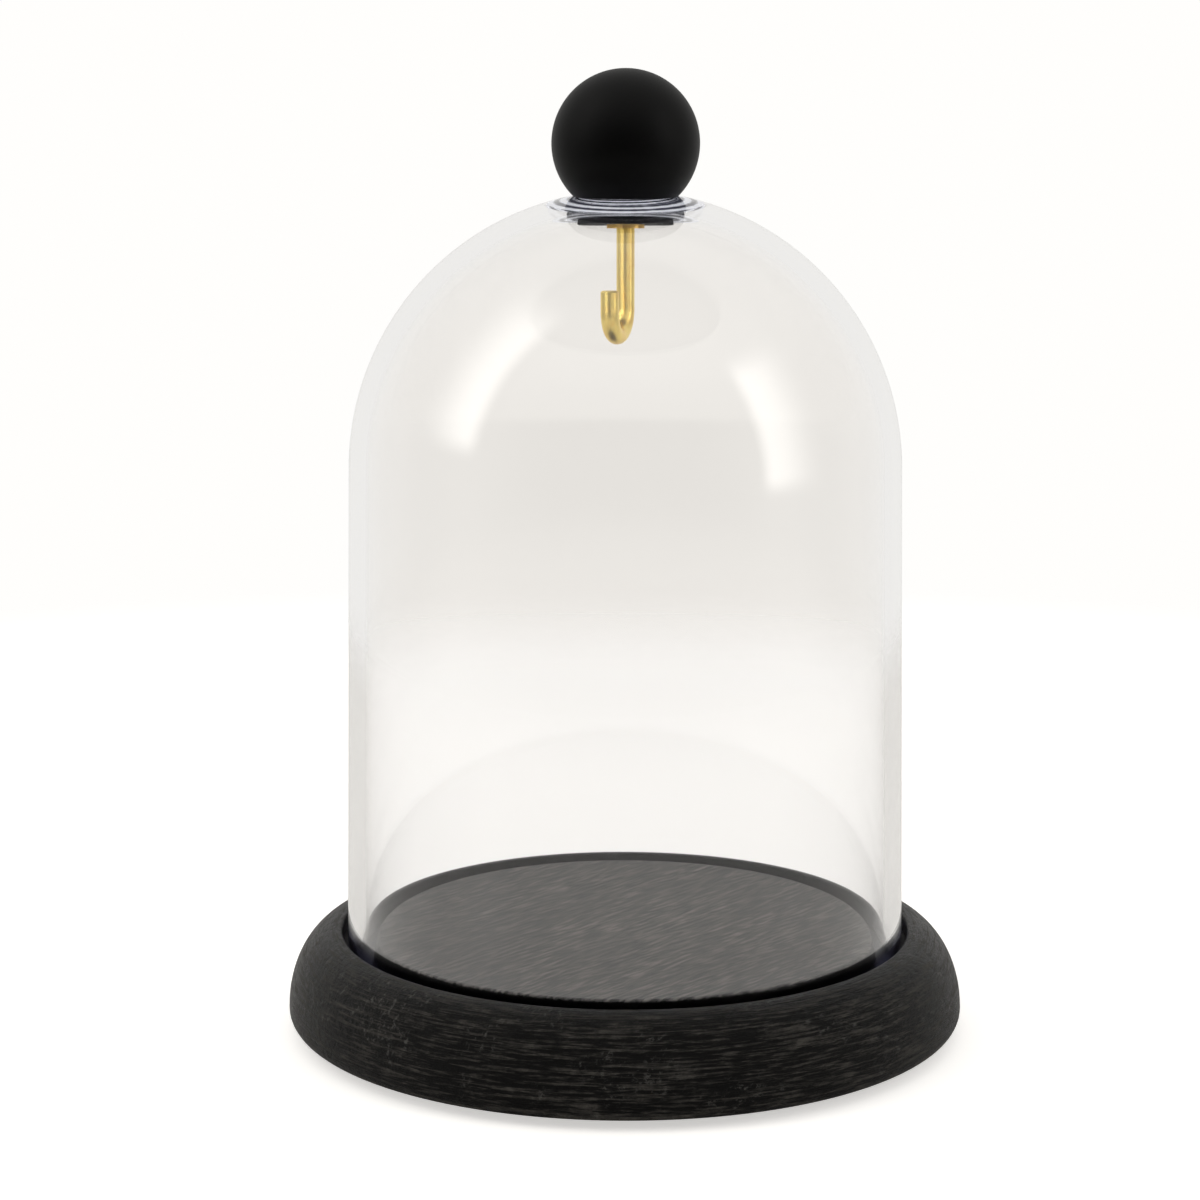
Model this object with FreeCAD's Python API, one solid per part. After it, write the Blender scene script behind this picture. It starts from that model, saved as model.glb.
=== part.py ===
"""Bell jar dome for hanging a pocket watch: turned wooden base, clear dome, ball knob and brass hook.

Millimetres, +Z up. The origin is the middle of the underside, so the base stands on Z = 0.
The dome stands in an annular groove of the base and lifts straight off. The ball knob screws into
the tapped crown of the dome. The hook screws into a brass insert in the knob, so that it can be
turned to face any way, and it hangs inside the dome. The watch itself is not part of the model.
"""
import FreeCAD, Part
import math
import os
from FreeCAD import Vector

# ---- base: one turned disc of wood with a felt pad glued under it ----
FELT_THICK = 1.0
FELT_INSET = 2.5            # from the edge of the wood's flat underside to the edge of the felt
BASE_THICK = 12.8           # wood only, underside to rim top
RIM_WIDTH = 7.4             # from the groove's outer wall to the widest line of the rim
RIM_TUCK = 2.3              # how far the underside's edge is drawn in from the widest line
RIM_TUCK_HEIGHT = 2.2       # height of the widest line over the underside
GROOVE_DEPTH = 2.2
GROOVE_OUTER_GAP = 0.7      # between the groove's outer wall and the dome's foot
GROOVE_INNER_GAP = 1.7      # between the groove's inner wall and the dome's foot
GROOVE_EDGE_ROUND = 0.4

# ---- dome: one clear moulding, drafted sides under a half ball ----
DOME_FOOT_R = 38.0
DOME_HEIGHT = 101.6         # foot to crown flat
DOME_WALL = 2.4
DOME_DRAFT = 0.9            # degrees, the sides lean in towards the crown
DOME_FOOT_ROUND = 0.4
CROWN_THICK = 3.1           # crown flat to the ceiling inside
CROWN_FLAT_MARGIN = 0.25    # how far the crown flat shows around the knob's seat

# ---- knob: black ball with a flat seat and a threaded stub ----
BALL_R = 9.8
BALL_SEAT_WIDTH = 0.6       # the ring of seat around the thread
THREAD_CREST_R = 6.35
THREAD_DEPTH = 0.6
THREAD_PITCH = 1.0
THREAD_ROOT_WIDTH = 0.8     # width of the ridge along the axis, at its root
THREAD_CREST_WIDTH = 0.3
THREAD_CLEARANCE = 0.06     # all round, between the knob's thread and the dome's
THREAD_RELIEF = 0.3         # unthreaded length at each end of the stub
STUB_END_GAP = 0.2          # the stub stops this far above the ceiling

# ---- brass insert pressed into the knob ----
INSERT_WALL = 1.05
INSERT_LENGTH = 8.0
PRESS_GAP = 0.02            # drawn gap of a pressed or soldered joint
DRILL_POINT = 118.0         # degrees, bottom of the hole for the insert
HOLE_SPARE = 0.5            # extra depth over the end of the insert

# ---- washer under the crown, as wide as the thread ----
WASHER_THICK = 0.7
WASHER_HOLE_GAP = 0.3       # around the hook's shank

# ---- hook: one bent brass wire with a collar ----
WIRE_R = 1.2
SHANK_LENGTH = 6.5          # from the collar up into the insert
SHANK_CLEARANCE = 0.05      # radial, so that the hook turns
HOOK_COLLAR_WALL = 1.28
HOOK_COLLAR_THICK = 0.5
HOOK_DROP = 15.05           # from the collar's underside to the lowest point of the bend
HOOK_GAP = 4.2              # open width between shank and tip
HOOK_TIP_LENGTH = 2.7       # straight end beyond the bend
HOOK_AIM = 18.0             # degrees, how far the tip is turned from the front towards -X
WIRE_CHAMFER = 0.2

# ---- heights and radii that follow from the sizes above ----
BASE_BOTTOM = FELT_THICK
RIM_TOP = BASE_BOTTOM + BASE_THICK
GROOVE_FLOOR = RIM_TOP - GROOVE_DEPTH
GROOVE_OUTER_R = DOME_FOOT_R + GROOVE_OUTER_GAP
GROOVE_INNER_R = DOME_FOOT_R - DOME_WALL - GROOVE_INNER_GAP
RIM_R = GROOVE_OUTER_R + RIM_WIDTH
UNDERSIDE_R = RIM_R - RIM_TUCK
BALL_SEAT_R = THREAD_CREST_R + BALL_SEAT_WIDTH
CROWN_FLAT_R = BALL_SEAT_R + CROWN_FLAT_MARGIN
CROWN = GROOVE_FLOOR + DOME_HEIGHT
CEILING = CROWN - CROWN_THICK
BALL_CENTRE = CROWN + math.sqrt(BALL_R ** 2 - BALL_SEAT_R ** 2)
STUB_END = CEILING + STUB_END_GAP
THREAD_ROOT_R = THREAD_CREST_R - THREAD_DEPTH
SHANK_HOLE_R = WIRE_R + SHANK_CLEARANCE
INSERT_R = SHANK_HOLE_R + INSERT_WALL
WASHER_BOTTOM = CEILING - WASHER_THICK
COLLAR_BOTTOM = WASHER_BOTTOM - HOOK_COLLAR_THICK
HOOK_COLLAR_HOLE_R = WIRE_R + PRESS_GAP
HOOK_COLLAR_R = HOOK_COLLAR_HOLE_R + HOOK_COLLAR_WALL
HOOK_BEND_R = WIRE_R + HOOK_GAP / 2
HOOK_BEND_CENTRE = COLLAR_BOTTOM - HOOK_DROP + WIRE_R + HOOK_BEND_R


def point(r, z):
    """A point of a half profile: r from the axis, z up."""
    return Vector(r, 0, z)


def line(start, end):
    return Part.LineSegment(start, end).toShape()


def quarter_ellipse(start, corner, end):
    """A quarter of an ellipse that leaves start towards corner and arrives at end from corner."""
    curve = Part.BezierCurve()
    curve.setPoles([start, corner, end])
    curve.setWeight(2, math.sqrt(0.5))
    return curve.toShape()


def arc_about(centre, radius, from_angle, to_angle):
    """An arc of a half profile, with angles in radians over the horizontal."""
    angles = (from_angle, (from_angle + to_angle) / 2, to_angle)
    ends = [centre + Vector(radius * math.cos(a), 0, radius * math.sin(a)) for a in angles]
    return Part.Arc(*ends).toShape()


def revolve(edges):
    """The solid that a closed half profile makes when it turns about the Z axis."""
    face = Part.Face(Part.Wire(edges))
    return face.revolve(Vector(0, 0, 0), Vector(0, 0, 1), 360)


def disc(radius, bottom, top):
    return Part.makeCylinder(radius, top - bottom, Vector(0, 0, bottom))


def thread_ridge(root_r, crest_r, bottom, top, grow=0.0):
    """A helical ridge that runs past bottom and top. Its root is sunk a little way into the core.

    Every ridge is counted in whole pitches from the crown, so that screwed pieces are in step.
    """
    sink = THREAD_DEPTH / 4
    root_half = THREAD_ROOT_WIDTH / 2 + grow
    crest_half = THREAD_CREST_WIDTH / 2 + grow
    start = CROWN - THREAD_PITCH * (math.ceil((CROWN - bottom) / THREAD_PITCH) + 1)
    turns = math.ceil((top - start) / THREAD_PITCH) + 1
    helix = Part.makeHelix(THREAD_PITCH, THREAD_PITCH * turns, root_r)
    corners = [
        point(root_r - sink, -root_half),
        point(crest_r, -crest_half),
        point(crest_r, crest_half),
        point(root_r - sink, root_half),
    ]
    section = Part.makePolygon(corners + corners[:1])
    ridge = Part.Wire(helix.Edges).makePipeShell([section], True, True)
    ridge.translate(Vector(0, 0, start))
    return ridge


def make_base():
    """Convex rim, groove for the dome and a flat plateau level with the rim, turned from one disc."""
    edge = GROOVE_EDGE_ROUND
    widest = BASE_BOTTOM + RIM_TUCK_HEIGHT
    axis_bottom = point(0, BASE_BOTTOM)
    axis_top = point(0, RIM_TOP)
    plateau_edge = point(GROOVE_INNER_R - edge, RIM_TOP)
    inner_wall_top = point(GROOVE_INNER_R, RIM_TOP - edge)
    inner_wall_foot = point(GROOVE_INNER_R, GROOVE_FLOOR)
    outer_wall_foot = point(GROOVE_OUTER_R, GROOVE_FLOOR)
    outer_wall_top = point(GROOVE_OUTER_R, RIM_TOP - edge)
    rim_crest = point(GROOVE_OUTER_R + edge, RIM_TOP)
    rim_widest = point(RIM_R, widest)
    underside_edge = point(UNDERSIDE_R, BASE_BOTTOM)
    return revolve([
        line(axis_bottom, axis_top),
        line(axis_top, plateau_edge),
        quarter_ellipse(plateau_edge, point(GROOVE_INNER_R, RIM_TOP), inner_wall_top),
        line(inner_wall_top, inner_wall_foot),
        line(inner_wall_foot, outer_wall_foot),
        line(outer_wall_foot, outer_wall_top),
        quarter_ellipse(outer_wall_top, point(GROOVE_OUTER_R, RIM_TOP), rim_crest),
        quarter_ellipse(rim_crest, point(RIM_R, RIM_TOP), rim_widest),
        quarter_ellipse(rim_widest, point(RIM_R, BASE_BOTTOM), underside_edge),
        line(underside_edge, axis_bottom),
    ])


def make_felt_pad():
    return disc(UNDERSIDE_R - FELT_INSET, 0, FELT_THICK)


def dome_ball():
    """Centre height over the foot, and radius, of the outer half ball.

    The ball touches the drafted side, so radius = foot * cos(draft) - rise * sin(draft), and it
    carries the crown flat at the dome's full height. Both together are a quadratic in rise.
    """
    draft = math.radians(DOME_DRAFT)
    reach = DOME_FOOT_R * math.cos(draft)
    half_b = DOME_HEIGHT - reach * math.sin(draft)
    c = DOME_HEIGHT ** 2 + CROWN_FLAT_R ** 2 - reach ** 2
    a = math.cos(draft) ** 2
    rise = (half_b - math.sqrt(half_b ** 2 - a * c)) / a
    return rise, reach - rise * math.sin(draft)


def make_dome():
    """The clear shell, with a thicker flat crown tapped for the knob's stub."""
    draft = math.radians(DOME_DRAFT)
    rise, outer_r = dome_ball()
    inner_r = outer_r - DOME_WALL
    centre = point(0, GROOVE_FLOOR + rise)
    lean = Vector(math.cos(draft), 0, math.sin(draft))
    outer_shoulder = centre + lean * outer_r
    inner_shoulder = centre + lean * inner_r
    outer_foot = point(DOME_FOOT_R, GROOVE_FLOOR)
    inner_foot = point(DOME_FOOT_R - DOME_WALL / math.cos(draft), GROOVE_FLOOR)
    crown_edge = math.acos(CROWN_FLAT_R / outer_r)
    ceiling_edge = math.asin((CEILING - centre.z) / inner_r)
    ceiling_r = inner_r * math.cos(ceiling_edge)
    shell = revolve([
        line(inner_foot, outer_foot),
        line(outer_foot, outer_shoulder),
        arc_about(centre, outer_r, draft, crown_edge),
        line(point(CROWN_FLAT_R, CROWN), point(0, CROWN)),
        line(point(0, CROWN), point(0, CEILING)),
        line(point(0, CEILING), point(ceiling_r, CEILING)),
        arc_about(centre, inner_r, ceiling_edge, draft),
        line(inner_shoulder, inner_foot),
    ])
    foot_edges = [e for e in shell.Edges if e.BoundBox.ZMax < GROOVE_FLOOR + DOME_FOOT_ROUND]
    shell = shell.makeFillet(DOME_FOOT_ROUND, foot_edges)
    core_r = THREAD_ROOT_R + THREAD_CLEARANCE
    crest_r = THREAD_CREST_R + THREAD_CLEARANCE
    tap = disc(core_r, CEILING - THREAD_PITCH, CROWN + THREAD_PITCH)
    tap = tap.fuse(thread_ridge(core_r, crest_r, CEILING, CROWN, THREAD_CLEARANCE))
    return shell.cut(tap)


def make_knob():
    """The ball, flat where it sits on the crown, with its threaded stub and the insert's hole."""
    centre = point(0, BALL_CENTRE)
    seat_edge = point(BALL_SEAT_R, CROWN)
    seat_angle = math.atan2(CROWN - BALL_CENTRE, BALL_SEAT_R)
    hole_r = INSERT_R + PRESS_GAP
    hole_top = STUB_END + INSERT_LENGTH + HOLE_SPARE
    hole_tip = hole_top + hole_r / math.tan(math.radians(DRILL_POINT / 2))
    body = revolve([
        arc_about(centre, BALL_R, math.pi / 2, seat_angle),
        line(seat_edge, point(THREAD_ROOT_R, CROWN)),
        line(point(THREAD_ROOT_R, CROWN), point(THREAD_ROOT_R, STUB_END)),
        line(point(THREAD_ROOT_R, STUB_END), point(hole_r, STUB_END)),
        line(point(hole_r, STUB_END), point(hole_r, hole_top)),
        line(point(hole_r, hole_top), point(0, hole_tip)),
        line(point(0, hole_tip), point(0, BALL_CENTRE + BALL_R)),
    ])
    ridge = thread_ridge(THREAD_ROOT_R, THREAD_CREST_R, STUB_END, CROWN)
    threaded = disc(2 * THREAD_CREST_R, STUB_END + THREAD_RELIEF, CROWN - THREAD_RELIEF)
    return body.fuse(ridge.common(threaded))


def make_knob_insert():
    outside = disc(INSERT_R, STUB_END, STUB_END + INSERT_LENGTH)
    return outside.cut(disc(SHANK_HOLE_R, STUB_END - 1, STUB_END + INSERT_LENGTH + 1))


def make_crown_washer():
    hole = disc(WIRE_R + WASHER_HOLE_GAP, WASHER_BOTTOM - 1, CEILING + 1)
    return disc(THREAD_CREST_R, WASHER_BOTTOM, CEILING).cut(hole)


def make_hook_collar():
    outside = disc(HOOK_COLLAR_R, COLLAR_BOTTOM, WASHER_BOTTOM)
    return outside.cut(disc(HOOK_COLLAR_HOLE_R, COLLAR_BOTTOM - 1, WASHER_BOTTOM + 1))


def make_hook():
    """One round wire: shank, half-turn bend and straight tip, in a plane turned by HOOK_AIM."""
    aim = math.radians(HOOK_AIM)
    out = Vector(-math.sin(aim), -math.cos(aim), 0)
    up = Vector(0, 0, 1)
    shank_top = up * (WASHER_BOTTOM + SHANK_LENGTH)
    bend_start = up * HOOK_BEND_CENTRE
    bend_bottom = bend_start + out * HOOK_BEND_R - up * HOOK_BEND_R
    bend_end = bend_start + out * (2 * HOOK_BEND_R)
    tip = bend_end + up * HOOK_TIP_LENGTH
    path = Part.Wire([
        line(shank_top, bend_start),
        Part.Arc(bend_start, bend_bottom, bend_end).toShape(),
        line(bend_end, tip),
    ])
    section = Part.Wire(Part.Circle(shank_top, up, WIRE_R).toShape())
    wire = path.makePipeShell([section], True, False)
    tip_rim = [e for e in wire.Edges if (e.CenterOfMass - tip).Length < WIRE_R]
    return wire.makeChamfer(WIRE_CHAMFER, tip_rim)


PIECES = {
    "base": make_base,
    "felt_pad": make_felt_pad,
    "dome": make_dome,
    "knob": make_knob,
    "knob_insert": make_knob_insert,
    "crown_washer": make_crown_washer,
    "hook_collar": make_hook_collar,
    "hook": make_hook,
}

os.makedirs("parts", exist_ok=True)
for name, make in PIECES.items():
    shape = make()
    shape.exportStep("parts/" + name + ".step")
    box = shape.BoundBox
    print(f"{name:13} solids {len(shape.Solids)} valid {shape.isValid()} volume {shape.Volume:10.2f} mm3",
          f"Z {box.ZMin:.2f} to {box.ZMax:.2f}, X {box.XMin:.2f} to {box.XMax:.2f}")
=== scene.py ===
# %% [markdown]
# # A bell jar for a pocket watch
#
# The object is a small display stand: a turned wooden base stained black, a clear acrylic dome
# that stands in a groove of the base, a black ball knob on top, and a brass hook inside that
# holds a watch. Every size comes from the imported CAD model, which Blender loads as a frame that
# never moves. This file adds the looks: better meshes where light bends through them, and a
# finish for each surface.

# %% Load the frame
import math

import bpy
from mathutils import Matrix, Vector


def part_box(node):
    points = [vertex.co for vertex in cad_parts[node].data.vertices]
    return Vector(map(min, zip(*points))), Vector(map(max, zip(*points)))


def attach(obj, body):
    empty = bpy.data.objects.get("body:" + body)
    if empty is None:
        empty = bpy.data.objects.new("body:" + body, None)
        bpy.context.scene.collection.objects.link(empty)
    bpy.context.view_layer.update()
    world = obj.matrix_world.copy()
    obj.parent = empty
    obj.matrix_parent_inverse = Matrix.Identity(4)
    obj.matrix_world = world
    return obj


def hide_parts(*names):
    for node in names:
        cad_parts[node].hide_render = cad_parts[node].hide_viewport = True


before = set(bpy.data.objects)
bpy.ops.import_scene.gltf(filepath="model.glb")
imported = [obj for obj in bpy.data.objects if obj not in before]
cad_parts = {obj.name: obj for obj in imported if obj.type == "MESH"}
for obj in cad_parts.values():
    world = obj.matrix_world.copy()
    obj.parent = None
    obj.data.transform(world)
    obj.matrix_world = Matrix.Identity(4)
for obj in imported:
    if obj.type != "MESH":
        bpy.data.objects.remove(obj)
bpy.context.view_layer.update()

# %% [markdown]
# ## Measure what is already there
#
# A piece made here has to sit exactly where the CAD piece sits, so its sizes are read from the
# frame. A box gives heights and outer radii. The thickness of the dome is hidden inside its
# box, so it is read from the points of the CAD mesh that lie near the foot.

# %% Sizes from the frame, in metres
MM = 0.001


def radii_between(node, low, high):
    """The smallest and largest distance from the axis of a node's points between two heights."""
    points = [v.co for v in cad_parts[node].data.vertices if low <= v.co.z <= high]
    reach = [math.hypot(p.x, p.y) for p in points]
    return min(reach), max(reach)


dome_low, dome_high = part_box("dome")
felt_low, felt_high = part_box("felt_pad")
base_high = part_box("base")[1]
washer_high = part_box("crown_washer")[1]
RIM_TOP = base_high.z
FOOT = dome_low.z
CROWN = dome_high.z
CEILING = washer_high.z
THREAD_CREST_R = washer_high.x
foot_inner_r, FOOT_R = radii_between("dome", FOOT, FOOT + 1 * MM)
WALL = FOOT_R - foot_inner_r
print(f"dome foot {FOOT_R / MM:.2f} mm, wall {WALL / MM:.2f} mm")
print(f"dome height {(CROWN - FOOT) / MM:.1f} mm")

# %% [markdown]
# ## Shader maths as Python
#
# A finish is a small network of nodes. Written out node by node, even "one minus the mask"
# takes four lines, so one class wraps a socket and gives it the usual operators. Each operator
# adds a Math node. Colours go through Mix nodes instead, because a Math node would turn them
# grey.

# %% A socket that can be added and multiplied


class Value:
    """The output of a node. Arithmetic on it adds Math nodes to the same finish."""

    def __init__(self, finish, socket):
        self.finish = finish
        self.socket = socket

    def math(self, operation, *terms):
        inputs = dict(enumerate(terms))
        return self.finish.node("Math", {"operation": operation}, inputs)

    def __add__(self, other):
        return self.math("ADD", self, other)

    def __sub__(self, other):
        return self.math("SUBTRACT", self, other)

    def __rsub__(self, other):
        return self.math("SUBTRACT", other, self)

    def __mul__(self, other):
        return self.math("MULTIPLY", self, other)

    def __truediv__(self, other):
        return self.math("DIVIDE", self, other)

    def __pow__(self, other):
        return self.math("POWER", self, other)

    __radd__ = __add__
    __rmul__ = __mul__

    def smooth(self, low, high):
        """0 below low, 1 above high and a soft step between."""
        settings = {"interpolation_type": "SMOOTHSTEP"}
        inputs = {"Value": self, "From Min": low, "From Max": high}
        return self.finish.node("MapRange", settings, inputs)


class Finish:
    """A node tree under construction, for a material or for the world."""

    def __init__(self, owner):
        owner.use_nodes = True
        self.owner = owner
        self.tree = owner.node_tree
        self.tree.nodes.clear()

    def node(self, kind, settings=None, inputs=None, output=0):
        """Adds any node: first its settings, then a number, colour or Value for each socket."""
        node = self.tree.nodes.new("ShaderNode" + kind)
        for name, setting in (settings or {}).items():
            setattr(node, name, setting)
        for name, item in (inputs or {}).items():
            if isinstance(item, Value):
                self.tree.links.new(item.socket, node.inputs[name])
            else:
                node.inputs[name].default_value = item
        return Value(self, node.outputs[output])

    def mix(self, factor, first, second):
        """Blends two colours: sockets 6 and 7 of a Mix node are its colours, output 2 its mix."""
        return self.node("Mix", {"data_type": "RGBA"}, {0: factor, 6: first, 7: second}, output=2)

    def place(self, scale=(1, 1, 1), turn=(0, 0, 0)):
        """The point on the surface in the object's own millimetres, turned and then scaled."""
        here = self.node("TexCoord", output=3)
        rotation = {"Vector": here, "Rotation": turn}
        turned = self.node("Mapping", {"vector_type": "POINT"}, rotation)
        factors = tuple(s / MM for s in scale)
        return self.node("VectorMath", {"operation": "MULTIPLY"}, {0: turned, 1: factors})

    def part(self, vector, axis):
        """One coordinate of a vector: 0, 1 or 2."""
        return self.node("SeparateXYZ", inputs={"Vector": vector}, output=axis)

    def noise(self, where, size, detail=3.0, roughness=0.5):
        inputs = {"Vector": where, "Scale": 1 / size, "Detail": detail, "Roughness": roughness}
        return self.node("TexNoise", inputs=inputs)

    def bump(self, height, depth, strength=1.0):
        """A normal for a relief whose full height is depth, in metres."""
        inputs = {"Height": height, "Distance": depth, "Strength": strength}
        return self.node("Bump", inputs=inputs)

    def surface(self, shader, output="OutputMaterial"):
        end = self.tree.nodes.new("ShaderNode" + output)
        self.tree.links.new(shader.socket, end.inputs["Surface"])
        return self.owner


def material(name):
    return Finish(bpy.data.materials.new(name))


print("shader helpers ready")

# %% [markdown]
# ## Ebonised wood
#
# The base is turned from one board of an open-grained wood and stained black. The grain runs
# across the disc at an angle and shows as streaks on the flat plateau. On the rim the lathe
# tool has left fine lines that follow the turning. Both are solid textures, stretched one along
# the board and the other round the axis: an image wrapped round the rim would need a seam, and
# this doesn't. For the second, each point is moved to a small circle in its own direction, so
# the noise changes slowly on the way round and fast across the rim. Pale flecks on the rim, in
# clustered patches, are painted highlights on the pores.

# %% The stain and the run of the grain
GRAIN_TURN = math.radians(-50)
TURNING_CIRCLE = 3.2        # millimetres: the smaller, the longer the tool lines
GROOVE_MIDDLE = (37.5, 38.5)    # millimetres from the axis, where the plateau's look gives way
BLACK_STAIN = (0.0016, 0.0014, 0.0013, 1)
THIN_STAIN = (0.072, 0.067, 0.060, 1)
SANDED_STAIN = (0.25, 0.23, 0.21, 1)
# The last colour is a painted highlight: pale specks of light on the pores.
PORE_HIGHLIGHT = (0.24, 0.235, 0.22, 1)
print("grain turned by", round(math.degrees(GRAIN_TURN)), "degrees")

# %% The wood


def around_the_axis(f, lean):
    """A place that changes slowly round the axis and fast with height, and the radius."""
    here = f.place()
    flat = f.node("VectorMath", {"operation": "MULTIPLY"}, {0: here, 1: (1, 1, 0)})
    radius = f.node("VectorMath", {"operation": "LENGTH"}, {0: flat}, output=1)
    outwards = f.node("VectorMath", {"operation": "NORMALIZE"}, {0: flat})
    circle = f.node("VectorMath", {"operation": "SCALE"}, {0: outwards, 3: TURNING_CIRCLE})
    across = f.node("CombineXYZ", inputs={2: f.part(here, 2) + radius * lean})
    return f.node("VectorMath", {"operation": "ADD"}, {0: circle, 1: across}), radius


def ebonised_wood():
    f = material("ebonised_wood")
    turn = (0, 0, GRAIN_TURN)
    round_rim, radius = around_the_axis(f, -0.7)
    on_rim = radius.smooth(*GROOVE_MIDDLE)
    on_top = f.part(f.place(), 2).smooth(RIM_TOP / MM - 0.5, RIM_TOP / MM - 0.1)
    streaks = f.noise(f.place((0.13, 1, 1), turn), 0.6, 4, 0.68)
    board = f.noise(f.place((0.25, 1, 1), turn), 4.0, 4, 0.6)
    tool_lines = f.noise(round_rim, 0.42, 4, 0.72)
    blotches = f.noise(f.place((0.5, 1, 1), turn), 1.3, 6, 0.72)
    lines = tool_lines.smooth(0.47, 0.63)
    across_rim = lines * (blotches.smooth(0.40, 0.66) * 0.55 + 0.42)
    along_board = streaks.smooth(0.40, 0.66) * (board.smooth(0.35, 0.65) * 0.4 + 0.6) * on_top
    # Pale flecks in clustered patches, painted highlights on the pores of the rim.
    highlight_patches = f.noise(f.place(), 9, 3).smooth(0.44, 0.62)
    flecks = f.noise(f.place((0.4, 1, 1), turn), 0.8, 5, 0.78).smooth(0.53, 0.68) * highlight_patches
    flat = f.mix(along_board, BLACK_STAIN, SANDED_STAIN)
    turned = f.mix(across_rim, BLACK_STAIN, THIN_STAIN)
    colour = f.mix(flecks * on_rim * 0.34, f.mix(on_rim, flat, turned), PORE_HIGHLIGHT)
    grain = along_board + on_rim * (across_rim - along_board)
    relief = streaks * (1 - on_rim) * on_top * 0.08 + (tool_lines + blotches * 0.6) * on_rim * 0.6
    shader = f.node("BsdfPrincipled", inputs={
        "Base Color": colour,
        "Roughness": 0.34 + grain * 0.4 + flecks * 0.1,
        "Normal": f.bump(relief, 0.6 * MM, 1.0),
        "Specular IOR Level": 0.09,
    })
    return f.surface(shader)


wood = ebonised_wood()
print("wood nodes", len(wood.node_tree.nodes))

# %% [markdown]
# ## Clear acrylic
#
# The dome is one moulding of clear acrylic. Its looks come from the light that it bends, so it
# needs a real wall with an inner and an outer face, and a finish that says "clear, index 1.49".
# Light that has run a long way down inside the wall comes out darker and blue-violet at the
# foot. A path through the wall isn't traced that far, so the foot's last millimetres get that
# colour as a painted shade. Handling has left a faint haze. The rays that ask whether a lamp
# reaches a place run in straight lines, and a bending surface would stop them all, so the second
# shader lets just those rays pass.

# %% The acrylic
CLEAR_TINT = (0.982, 0.982, 0.985, 1)
# The foot's colour is a painted shade, darker and blue-violet, and the band after it gives the
# heights where that painted shade fades out.
FOOT_PAINTED_SHADE = (0.28, 0.28, 0.42, 1)
PAINTED_SHADE_BAND = (FOOT / MM + 1.8, FOOT / MM + 3.0)      # millimetres, where the tint fades out
ACRYLIC_IOR = 1.49
TEST_RAY_TINT = (0.93, 0.93, 0.935, 1)


def clear_acrylic():
    f = material("clear_acrylic")
    height = f.part(f.place(), 2)
    # Painted blue-violet shade over the foot's last millimetres.
    foot = 1 - height.smooth(*PAINTED_SHADE_BAND)
    haze = f.noise(f.place(), 16, 4, 0.6).smooth(0.45, 0.8)
    clear = f.node("BsdfPrincipled", inputs={
        "Base Color": f.mix(foot, CLEAR_TINT, FOOT_PAINTED_SHADE),
        "Roughness": haze * 0.03,
        "IOR": ACRYLIC_IOR,
        "Transmission Weight": 1.0,
    })
    passing = f.node("BsdfTransparent", inputs={"Color": TEST_RAY_TINT})
    lamp_ray = f.node("LightPath", output="Is Shadow Ray")
    return f.surface(f.node("MixShader", inputs={0: lamp_ray, 1: clear, 2: passing}))


acrylic = clear_acrylic()
print("clear acrylic nodes", len(acrylic.node_tree.nodes))

# %% [markdown]
# ## Acrylic that a tool has cut
#
# The crown's hole is tapped, and the ceiling round it is faced flat. A cut face isn't polished,
# so it is pale, with a painted silver reflection on its ridges and painted shade in the cuts.
# The ridges also catch light carried inside the wall, which takes too many bounces to be found,
# so a faint painted glow of the surface stands in for it. The ridges follow the same rule as the
# shape: one turn up the thread for each turn round the axis.

# %% The cut faces
THREAD_DEPTH = 0.6 * MM
THREAD_PITCH = 1.0 * MM
THREAD_GAP = 0.06 * MM
FACING_PITCH = 1.7          # millimetres between the rings that facing leaves
# The colour in the cut is painted shade. On the ridge it is the pale colour of a cut face with a
# painted silver reflection. The two glows are painted light.
SHADE_IN_THE_CUT, LIT_PALE_RIDGE = (0.03, 0.033, 0.05, 1), (0.62, 0.63, 0.68, 1)
GLOW_IN_THE_CUT, GLOW_ON_THE_RIDGE = (0.02, 0.021, 0.032, 1), (0.50, 0.51, 0.55, 1)


def cut_acrylic(name, ridges):
    """Cut acrylic with ridges given as a rule that counts them: painted light on the ridges,
    painted shade between.
    """
    f = material(name)
    turns = ridges(f)
    crest = turns.math("COSINE", turns * (2 * math.pi)) * -0.5 + 0.5
    chatter = f.noise(around_the_axis(f, 0)[0], 0.5, 3, 0.6) - 0.5
    # The ridges get painted light and the cuts painted shade, in the colour and in the glow.
    bright = (crest + chatter * 0.7).smooth(0.1, 0.9)
    shader = f.node("BsdfPrincipled", inputs={
        "Base Color": f.mix(bright, SHADE_IN_THE_CUT, LIT_PALE_RIDGE),
        "Roughness": 0.35 + chatter * 0.2,
        "Normal": f.bump(chatter, 0.05 * MM, 0.8),
        "Emission Color": f.mix(bright, GLOW_IN_THE_CUT, GLOW_ON_THE_RIDGE),
        "Emission Strength": 1.0,
    })
    return f.surface(shader)


def thread_turns(f):
    here = f.place()
    angle = here.math("ARCTAN2", f.part(here, 1), f.part(here, 0))
    return (f.part(here, 2) - CROWN / MM) * (MM / THREAD_PITCH) - angle / (2 * math.pi)


def facing_turns(f):
    return around_the_axis(f, 0)[1] / FACING_PITCH


tapped = cut_acrylic("tapped_acrylic", thread_turns)
faced = cut_acrylic("faced_acrylic", facing_turns)
print("cut acrylic nodes", len(tapped.node_tree.nodes), len(faced.node_tree.nodes))

# %% [markdown]
# ## Black knob, brass and rubber
#
# The knob is a moulded ball with a fine satin skin: almost no colour of its own, and highlights
# so soft that they only lift its edges. Brass is a metal, so its colour is in its reflections.
# Drawing leaves long lines in the wire, and lacquer leaves slightly browner clouds. The washer
# is dull.

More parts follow.
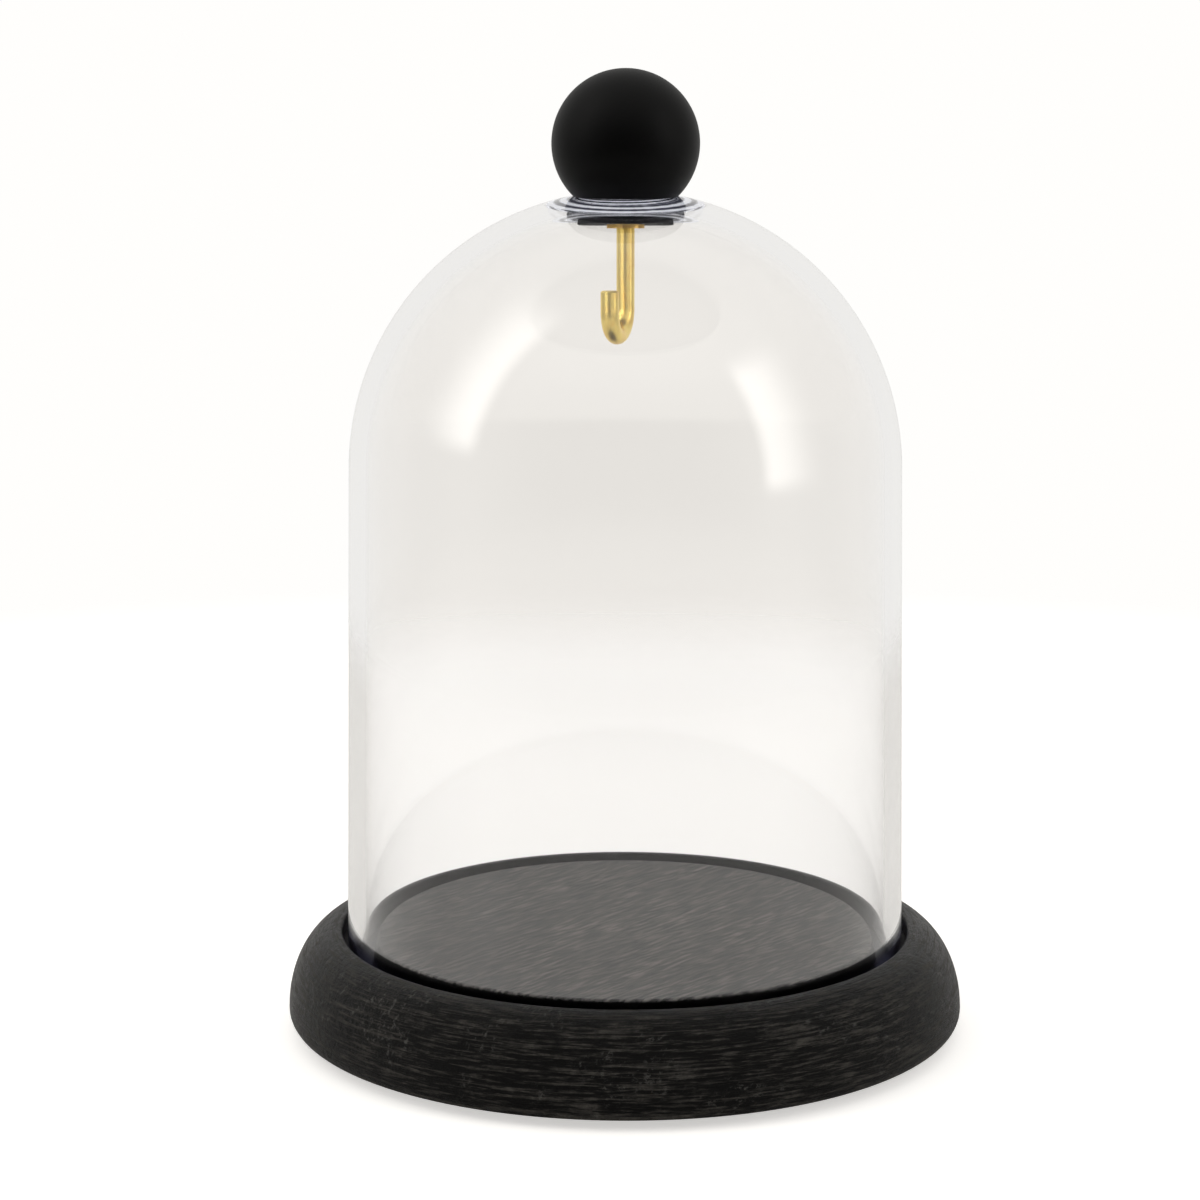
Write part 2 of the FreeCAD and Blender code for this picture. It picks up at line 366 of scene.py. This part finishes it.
# %% The small finishes
KNOB_BLACK, HANDLED_BLACK = (0.0008, 0.0008, 0.0008, 1), (0.0022, 0.0020, 0.0018, 1)
RUBBER_BLACK, DUSTY_RUBBER = (0.006, 0.006, 0.007, 1), (0.016, 0.016, 0.018, 1)
GOLD, RED_GOLD = (1.0, 0.76, 0.22, 1), (0.95, 0.62, 0.22, 1)
OLD_GOLD = (0.88, 0.54, 0.14, 1)


def satin_black():
    f = material("satin_black")
    skin = f.noise(f.place(), 0.35, 4, 0.6)
    handled = f.noise(f.place(), 7, 3)
    shader = f.node("BsdfPrincipled", inputs={
        "Base Color": f.mix(handled, KNOB_BLACK, HANDLED_BLACK),
        "Roughness": 0.46 + handled * 0.12,
        "Normal": f.bump(skin, 0.012 * MM, 0.6),
        "Specular IOR Level": 0.12,
    })
    return f.surface(shader)


def brass(name, line_scale, bright, dull, roughness):
    """Brass with fine tool lines: line_scale squeezes the noise along the way the tool ran."""
    f = material(name)
    lines = f.noise(f.place(line_scale), 0.12, 3, 0.6)
    clouds = f.noise(f.place(), 1.8, 3, 0.6).smooth(0.35, 0.75)
    shader = f.node("BsdfPrincipled", inputs={
        "Base Color": f.mix(clouds * 0.6, bright, dull),
        "Metallic": 1.0,
        "Roughness": roughness + lines * 0.12 + clouds * 0.06,
        "Normal": f.bump(lines, 0.01 * MM, 0.5),
    })
    return f.surface(shader)


def black_rubber():
    f = material("black_rubber")
    grain = f.noise(f.place(), 0.2, 4, 0.7)
    shader = f.node("BsdfPrincipled", inputs={
        "Base Color": f.mix(grain, RUBBER_BLACK, DUSTY_RUBBER),
        "Roughness": 0.55 + grain * 0.2,
        "Normal": f.bump(grain, 0.03 * MM, 0.6),
    })
    return f.surface(shader)


satin = satin_black()
wire_brass = brass("brass_wire", (1, 1, 0.05), GOLD, OLD_GOLD, 0.26)
turned_brass = brass("brass_turned", (1, 1, 4), RED_GOLD, OLD_GOLD, 0.28)
rubber = black_rubber()
print("small finishes", satin.name, wire_brass.name, turned_brass.name, rubber.name)

# %% [markdown]
# ## Give the CAD pieces their finish
#
# Where the CAD shape is already right, the piece stays and only its material changes.

# %% Dress the CAD pieces


def dress(node, finish):
    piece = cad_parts[node]
    piece.data.materials.clear()
    piece.data.materials.append(finish)
    for polygon in piece.data.polygons:
        polygon.material_index = 0
    return piece


DRESSED = {
    "base": wood,
    "knob": satin,
    "knob_insert": turned_brass,
    "crown_washer": rubber,
    "hook_collar": turned_brass,
    "hook": wire_brass,
}
for node, finish in DRESSED.items():
    dress(node, finish)
print("dressed", ", ".join(DRESSED))

# %% [markdown]
# ## The dome as a mesh for light
#
# A CAD mesh is cut into long thin triangles, and a clear piece shows every one of them as a
# kink in what lies behind it. The same outline turned round the axis in even steps bends light
# smoothly. The outline is one closed loop: up the outside, over the crown, down through the
# tapped hole, along the ceiling, and down the inside. Its points lie on the side's straight
# line and on two arcs about one centre, which is worked out so that the arcs leave the side
# without a kink.

# %% Outline of the dome
DRAFT = math.radians(0.9)
SEAT_FLAT_R = THREAD_CREST_R + 0.85 * MM
FOOT_ROUND = 0.4 * MM
ARC_STEPS, SIDE_STEPS, HOLE_STEPS, FOOT_STEPS = 72, 12, 56, 6


def ball_of_dome():
    """Height of the ball's centre over the foot, and its outer radius."""
    height = CROWN - FOOT
    reach = FOOT_R * math.cos(DRAFT)
    half_b = height - reach * math.sin(DRAFT)
    a = math.cos(DRAFT) ** 2
    c = height ** 2 + SEAT_FLAT_R ** 2 - reach ** 2
    rise = (half_b - math.sqrt(half_b ** 2 - a * c)) / a
    return rise, reach - rise * math.sin(DRAFT)


def arc(centre_r, centre_z, radius, start, end, steps):
    """Points of an arc in the half plane, both ends included."""
    angles = [start + (end - start) * i / steps for i in range(steps + 1)]
    return [(centre_r + radius * math.cos(a), centre_z + radius * math.sin(a)) for a in angles]


def line(start, end, steps):
    """Points of a straight run, both ends left out."""
    shares = [i / steps for i in range(1, steps)]
    return [tuple(a + (b - a) * s for a, b in zip(start, end)) for s in shares]


def thread_radius(height):
    """The radius of the thread's wall at a height, as a rule that takes the angle."""
    middle = THREAD_CREST_R + THREAD_GAP - THREAD_DEPTH / 2

    def radius(angle):
        turns = (height - CROWN) / THREAD_PITCH - angle / (2 * math.pi)
        return middle + THREAD_DEPTH / 2 * math.cos(2 * math.pi * turns)

    return radius


def dome_outline():
    rise, outer_r = ball_of_dome()
    inner_r = outer_r - WALL
    centre = FOOT + rise
    inner_foot_r = FOOT_R - WALL / math.cos(DRAFT)
    seat_angle = math.acos(SEAT_FLAT_R / outer_r)
    ceiling_angle = math.asin((CEILING - centre) / inner_r)
    quarter = math.pi / 2
    round_z = FOOT + FOOT_ROUND
    foot_out = arc(FOOT_R - FOOT_ROUND, round_z, FOOT_ROUND, -quarter, DRAFT, FOOT_STEPS)
    inner_round_r = inner_foot_r + FOOT_ROUND
    inner_start = DRAFT - 2 * quarter
    foot_in = arc(inner_round_r, round_z, FOOT_ROUND, inner_start, -quarter, FOOT_STEPS)
    outer = arc(0, centre, outer_r, DRAFT, seat_angle, ARC_STEPS)
    inner = arc(0, centre, inner_r, ceiling_angle, DRAFT, ARC_STEPS)
    hole = [CROWN + (CEILING - CROWN) * i / HOLE_STEPS for i in range(HOLE_STEPS + 1)]
    points = foot_out + line(foot_out[-1], outer[0], SIDE_STEPS) + outer
    points += [(thread_radius(z), z) for z in hole]
    points += inner + line(inner[-1], foot_in[0], SIDE_STEPS) + foot_in
    return points


outline = dome_outline()
print("dome outline", len(outline), "points")

# %% [markdown]
# ## Turning an outline on the lathe
#
# Every round piece here is an outline swept round the axis. A radius may be a rule that takes
# the angle, which is all that a thread needs.

# %% The lathe
SEGMENTS = 240


def lathe(name, points, segments=SEGMENTS, sharp=math.radians(32)):
    """A closed ring of outline points swept once round the axis, as an object."""
    turns = [2 * math.pi * i / segments for i in range(segments)]
    vertices = []
    for radius, height in points:
        for angle in turns:
            r = radius(angle) if callable(radius) else radius
            vertices.append((r * math.cos(angle), r * math.sin(angle), height))
    faces = []
    for row in range(len(points)):
        below, above = row * segments, (row + 1) % len(points) * segments
        for i in range(segments):
            j = (i + 1) % segments
            faces.append((below + i, below + j, above + j, above + i))
    mesh = bpy.data.meshes.new(name)
    mesh.from_pydata(vertices, [], faces)
    mesh.shade_smooth()
    mesh.set_sharp_from_angle(angle=sharp)
    piece = bpy.data.objects.new(name, mesh)
    bpy.context.scene.collection.objects.link(piece)
    return piece


def fit_out(piece, finish, slot, body, *nodes):
    """Gives a new piece its material and its body, and hides the CAD nodes that it stands for;
    slot is not used.
    """
    piece.data.materials.append(finish)
    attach(piece, body)
    if nodes:
        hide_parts(*nodes)
    return piece


dome = fit_out(lathe("dome_shell", outline), acrylic, "clear_acrylic", "dome_set", "dome")
dome.data.materials.append(tapped)
dome.data.materials.append(faced)
IN_THE_HOLE = THREAD_CREST_R + 0.1 * MM
NEAR_THE_CEILING = 0.05 * MM
for face in dome.data.polygons:
    if math.hypot(face.center.x, face.center.y) < IN_THE_HOLE:
        face.material_index = 1
    elif abs(face.center.z - CEILING) < NEAR_THE_CEILING:
        face.material_index = 2
print("dome faces", len(dome.data.polygons))

# %% [markdown]
# ## Felt under the base
#
# The pad is a punched disc of felt. Its edge is a little ragged and its face is never quite
# flat, so the disc is a fine mesh whose points are moved by a smooth noise, and the nap is left
# to the finish.

# %% The felt's finish
DEEP_FELT, LOOSE_FELT = (0.006, 0.007, 0.006, 1), (0.035, 0.037, 0.034, 1)


def felt_finish():
    f = material("felt")
    hairs = f.noise(f.place(), 0.25, 5, 0.7)
    tufts = f.noise(f.place(), 2.2, 3, 0.6)
    nap = hairs * 0.7 + tufts * 0.3
    shader = f.node("BsdfPrincipled", inputs={
        "Base Color": f.mix(nap, DEEP_FELT, LOOSE_FELT),
        "Roughness": 0.95,
        "Normal": f.bump(nap, 0.25 * MM, 0.9),
        "Sheen Weight": 0.4,
        "Sheen Roughness": 0.5,
    })
    return f.surface(shader)


felt_material = felt_finish()
print("felt nodes", len(felt_material.node_tree.nodes))

# %% The felt pad
from mathutils import noise as smooth_noise

RIM_SHARE = 0.95            # the points beyond this share of the radius are the ragged edge
SAG = 0.12                  # how far a point may give towards the middle of the thickness


def felt_outline(rings=26):
    radius, thick = felt_high.x, felt_high.z - felt_low.z
    face = [radius * (i + 0.02) / rings for i in range(rings)]
    top = [(r, felt_high.z) for r in face]
    bottom = [(r, felt_low.z) for r in reversed(face)]
    edge = [(radius * 0.997, felt_high.z - thick * s) for s in (0.0, 0.2, 0.5, 0.8, 1.0)]
    return top + edge + bottom


def ruffle(piece, size, depth):
    """Moves each point by a smooth noise, inwards only, so that it stays inside its box."""
    for vertex in piece.data.vertices:
        shift = 0.5 + 0.5 * smooth_noise.noise(vertex.co / size)
        out = Vector((vertex.co.x, vertex.co.y, 0))
        if out.length > felt_high.x * RIM_SHARE:
            vertex.co -= out.normalized() * depth * shift
        middle = (felt_low.z + felt_high.z) / 2
        vertex.co.z += (middle - vertex.co.z) * SAG * shift


felt = lathe("felt_disc", felt_outline(), 160)
ruffle(felt, 1.7 * MM, 0.35 * MM)
fit_out(felt, felt_material, "felt", "base_set", "felt_pad")
print("felt faces", len(felt.data.polygons))

# %% [markdown]
# ## The floor
#
# The stand is on pale paper that runs on into a white backdrop. Plain paper would come out grey
# in the view, and paper that glows would light the base from below. So it glows only for a ray
# that is looking at it, directly or a little less through the acrylic, and it fades out before
# its edge.

# %% The floor
FLOOR_WHITE = (0.90, 0.885, 0.865, 1)
FLOOR_SPECKLE = (0.84, 0.825, 0.80, 1)
FLOOR_NEAR, FLOOR_FAR = 230, 340    # millimetres from the axis, where the floor fades out
FLOOR_GLOW = 0.62
GLOW_THROUGH_DOME = 0.56


def looked_at(f, share_through=1.0):
    """1 for a ray that is the view itself, a share of it through the acrylic, and 0 for light."""
    straight = f.node("LightPath", output="Is Camera Ray")
    through = f.node("LightPath", output="Is Transmission Ray")
    scattered = f.node("LightPath", output="Diffuse Depth")
    mirrored = f.node("LightPath", output="Glossy Depth")
    bounced = (scattered + mirrored).smooth(0, 1)
    return straight.math("MAXIMUM", straight, through * (1 - bounced) * share_through)


def floor_finish():
    """Pale paper that looks white, with a glow that doesn't light the base from below."""
    f = material("floor_paper")
    flat = f.node("VectorMath", {"operation": "MULTIPLY"}, {0: f.place(), 1: (1, 1, 0)})
    reach = f.node("VectorMath", {"operation": "LENGTH"}, {0: flat}, output=1)
    speckle = f.noise(f.place(), 0.8, 3)
    colour = f.mix(speckle * 0.1, FLOOR_WHITE, FLOOR_SPECKLE)
    paper = f.node("BsdfDiffuse", inputs={"Color": colour})
    glow = f.node("Emission", inputs={"Color": FLOOR_WHITE, "Strength": FLOOR_GLOW})
    lit = f.node("AddShader", inputs={0: paper, 1: glow})
    shown = f.node("MixShader", inputs={0: looked_at(f, GLOW_THROUGH_DOME), 1: paper, 2: lit})
    gone = f.node("BsdfTransparent")
    faded = reach.smooth(FLOOR_NEAR, FLOOR_FAR)
    return f.surface(f.node("MixShader", inputs={0: faded, 1: shown, 2: gone}))


def make_floor(size=1.0):
    mesh = bpy.data.meshes.new("floor")
    half = size / 2
    corners = [(-half, -half, 0), (half, -half, 0), (half, half, 0), (-half, half, 0)]
    mesh.from_pydata(corners, [], [(0, 1, 2, 3)])
    floor = bpy.data.objects.new("floor", mesh)
    bpy.context.scene.collection.objects.link(floor)
    floor.data.materials.append(floor_finish())
    return floor


floor = make_floor()
print("floor made")

# %% [markdown]
# ## The room
#
# A clear dome is only visible by what it bends and mirrors, so the surroundings matter more
# than on a solid object. Two walls of acrylic pass about four fifths of the light, so in front
# of a white backdrop the dome's body reads as a pale grey. The light comes from a white room:
# bright above and behind, dim in front, which keeps the black ball black. A world shader draws
# that room softly, without the hard edges that lamps leave in a mirror. Two tall soft windows
# in it, high on the left and lower on the right, draw the two bright stripes on the dome's
# shoulders.

# %% The room's colours
BACKDROP = (1.0, 0.992, 0.975, 1)
BEHIND_THE_DOME = (0.94, 0.91, 0.86, 1)
BACK_WALL = (0.86, 0.85, 0.83, 1)
SIDE_WALL = (0.36, 0.36, 0.355, 1)
CEILING_WHITE = (0.85, 0.845, 0.83, 1)
DIM_FRONT = (0.035, 0.035, 0.036, 1)
SOFT_WINDOW = (3.0, 2.95, 2.85, 1)
WINDOWS = ((-106, 0.08, 0.95), (113, -0.14, 0.74))     # degrees, and the sines of both ends
WINDOW_EDGE = 0.16          # how softly a window ends above and below
print("windows at", [azimuth for azimuth, low, high in WINDOWS], "degrees")

# %% The room


def surroundings():
    world = bpy.data.worlds.new("studio")
    bpy.context.scene.world = world
    f = Finish(world)
    direction = f.node("TexCoord", output=0)
    forward, up = f.part(direction, 1), f.part(direction, 2)

    def along(vector):
        settings = {"operation": "DOT_PRODUCT"}
        return f.node("VectorMath", settings, {0: direction, 1: vector}, output=1)

    def window_mask(azimuth, low, high):
        """A tall window that fades backwards: azimuth 0 is +Y, and low and high are sines."""
        a = math.radians(azimuth)
        side = -1 if azimuth > 0 else 1
        ahead = along((math.sin(a), math.cos(a), 0)).smooth(0, 0.1)
        backwards = along((side * math.cos(a), -side * math.sin(a), 0))
        across = backwards.smooth(-0.16, -0.07) * (1 - backwards.smooth(-0.05, 0.5)) ** 1.6
        ends = up.smooth(low, low + WINDOW_EDGE), 1 - up.smooth(high - WINDOW_EDGE, high)
        return ahead * across * ends[0] * ends[1]

    room = f.mix(forward.smooth(0.0, 0.8), SIDE_WALL, BACK_WALL)
    room = f.mix(forward.smooth(-0.95, -0.15), DIM_FRONT, room)
    room = f.mix(up.smooth(0.35, 0.95), room, CEILING_WHITE)
    for azimuth, low, high in WINDOWS:
        room = f.mix(window_mask(azimuth, low, high), room, SOFT_WINDOW)
    through = f.node("LightPath", output="Is Transmission Ray")
    view = f.mix(through, BACKDROP, BEHIND_THE_DOME)
    colour = f.mix(looked_at(f), room, view)
    background = f.node("Background", inputs={"Color": colour, "Strength": 1.0})
    f.surface(background, "OutputWorld")
    return world


surroundings()
print("room drawn")

# %% [markdown]
# ## Three small lamps for the hook
#
# The dim front that keeps the ball black would leave the polished wire dull, because a wire
# mirrors what is in front of it. A lamp can be told which pieces it lights, and these three
# light only the brass. The two on the left and the right draw the bright lines along the wire,
# and the wide, weak one in front lifts the dark between them.

# %% Lamps that only the brass receives


def brass_only():
    """A collection with the brass pieces, for lamps that light nothing else."""
    lit = bpy.data.collections.new("brass_pieces")
    for node in ("hook", "hook_collar"):
        lit.objects.link(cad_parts[node])
    return lit


def narrow_lamp(name, azimuth, elevation, power, receivers, distance=0.35, size=(0.05, 0.22)):
    """A tall lamp that points at the hook: azimuth 0 is along +Y and positive towards +X."""
    low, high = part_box("hook")
    target = (low + high) / 2
    a, e = math.radians(azimuth), math.radians(elevation)
    away = Vector((math.cos(e) * math.sin(a), math.cos(e) * math.cos(a), math.sin(e)))
    lamp = bpy.data.lights.new(name, "AREA")
    lamp.shape = "RECTANGLE"
    lamp.size, lamp.size_y = size
    lamp.energy = power
    light = bpy.data.objects.new(name, lamp)
    bpy.context.scene.collection.objects.link(light)
    light.location = target + away * distance
    light.rotation_euler = (-away).to_track_quat("-Z", "Y").to_euler()
    light.visible_camera = False
    light.light_linking.receiver_collection = receivers
    return light


brass_pieces = brass_only()
narrow_lamp("lamp_left", -138, 12, 0.55, brass_pieces)
narrow_lamp("lamp_right", 150, 12, 0.40, brass_pieces)
narrow_lamp("lamp_front", -174, 0, 0.20, brass_pieces, size=(0.12, 0.30))

# %% [markdown]
# ## Camera
#
# The camera stands about forty centimetres in front of the dome and a little above its knob,
# and looks down by ten degrees, through a lens long enough to keep the upright sides upright.

# %% The camera
CAMERA_DISTANCE = 0.4307
CAMERA_OVER_RIM = 0.1253
CAMERA_TILT = math.radians(10.54)
CAMERA_PAN = math.radians(0.45)
CAMERA_LENS = 97.3          # millimetres, on a sensor 36 mm wide


def make_camera():
    data = bpy.data.cameras.new("camera")
    data.sensor_width = 36
    data.lens = CAMERA_LENS
    data.clip_start = 0.01
    camera = bpy.data.objects.new("camera", data)
    bpy.context.scene.collection.objects.link(camera)
    camera.location = (0, -CAMERA_DISTANCE, RIM_TOP + CAMERA_OVER_RIM)
    camera.rotation_euler = (math.pi / 2 - CAMERA_TILT, 0, CAMERA_PAN)
    bpy.context.scene.camera = camera
    return camera


camera = make_camera()
print("camera", [round(c, 4) for c in camera.location])

# %% [markdown]
# ## Settings that the light needs
#
# A ray that crosses the dome passes four faces, and more in the crown, so it is allowed enough
# bounces. The plain view transform keeps the pale floor pale.

# %% Bounces and view
scene = bpy.context.scene
scene.view_settings.view_transform = "Standard"
scene.cycles.max_bounces = 24
scene.cycles.transmission_bounces = 24
scene.cycles.transparent_max_bounces = 24
scene.cycles.glossy_bounces = 12
scene.cycles.diffuse_bounces = 4
scene.cycles.caustics_reflective = False
print("bounces", scene.cycles.max_bounces)
